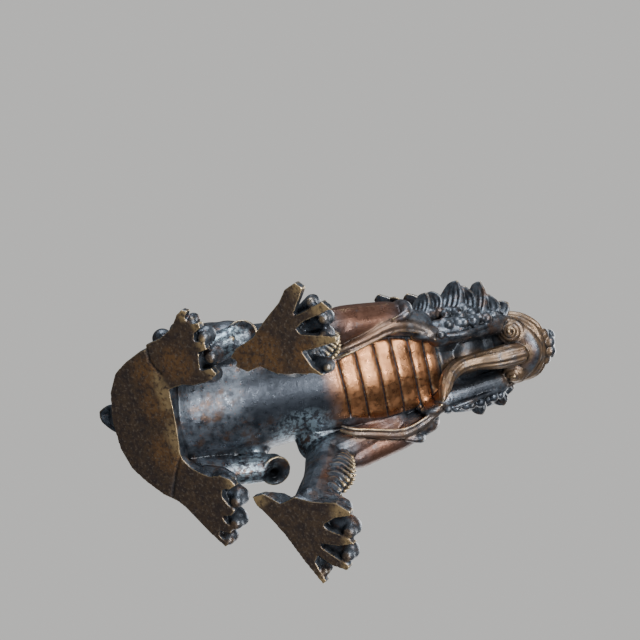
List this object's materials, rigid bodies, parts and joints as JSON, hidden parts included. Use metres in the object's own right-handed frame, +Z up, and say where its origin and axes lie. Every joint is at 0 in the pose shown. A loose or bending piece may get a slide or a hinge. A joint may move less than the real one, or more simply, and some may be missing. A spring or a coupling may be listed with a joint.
{
  "type": "qilin statue",
  "caption": "Seated bronze qilin leaning forward on spread clawed feet, with a scaled chest, curled lips, long beard, flame mane and horns laid back.",
  "frame": {"origin": "middle of the bounding box on the ground plane, under the soles", "axes": "+Z up from the soles; the head faces -Y; the figure's left side is +X"},
  "size_m": [0.133, 0.1793, 0.1639],
  "materials": {
    "bronze": "aged brown cast bronze, rubbed golden on the edges, blue-grey bloom in the hollows"
  },
  "bodies": {
    "root": {"qilin": "bronze"}
  },
  "joints": []
}
